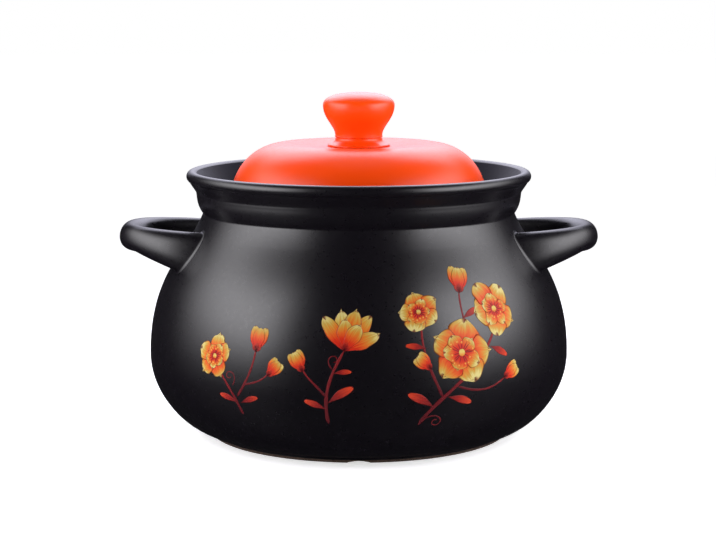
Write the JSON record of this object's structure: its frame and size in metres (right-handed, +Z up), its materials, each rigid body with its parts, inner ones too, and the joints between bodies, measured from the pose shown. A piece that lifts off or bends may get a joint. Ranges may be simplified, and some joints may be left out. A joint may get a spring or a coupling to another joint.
{
  "type": "lidded clay cooking pot",
  "caption": "Round-bellied clay casserole with a flared collar, two loop handles, and a domed lid with a waisted knob that lifts off.",
  "frame": {"origin": "centre of the plane that the foot ring rests on", "axes": "+Z up along the pot's axis of revolution; +X through the right-hand handle; -Y towards the decorated front"},
  "size_m": [0.312, 0.274, 0.2222],
  "materials": {
    "black_glaze": "satin black glaze, faintly cool, with broad soft highlights",
    "orange_glaze": "satin orange-red glaze",
    "bare_clay": "unglazed fired clay, matt and slightly gritty, on the foot's resting band",
    "flower_print": "flat fired-on print in reds, oranges and yellows, slightly glossier than the glaze"
  },
  "bodies": {
    "pot": {"pot_body": "black_glaze", "left_handle": "black_glaze", "right_handle": "black_glaze"},
    "lid": {"lid_dome": "orange_glaze", "lid_knob": "orange_glaze"}
  },
  "joints": [
    {"name": "lid_lift", "type": "slide", "parent": "pot", "child": "lid", "axis": [0, 0, 1], "range_m": [0, 0.12]}
  ]
}
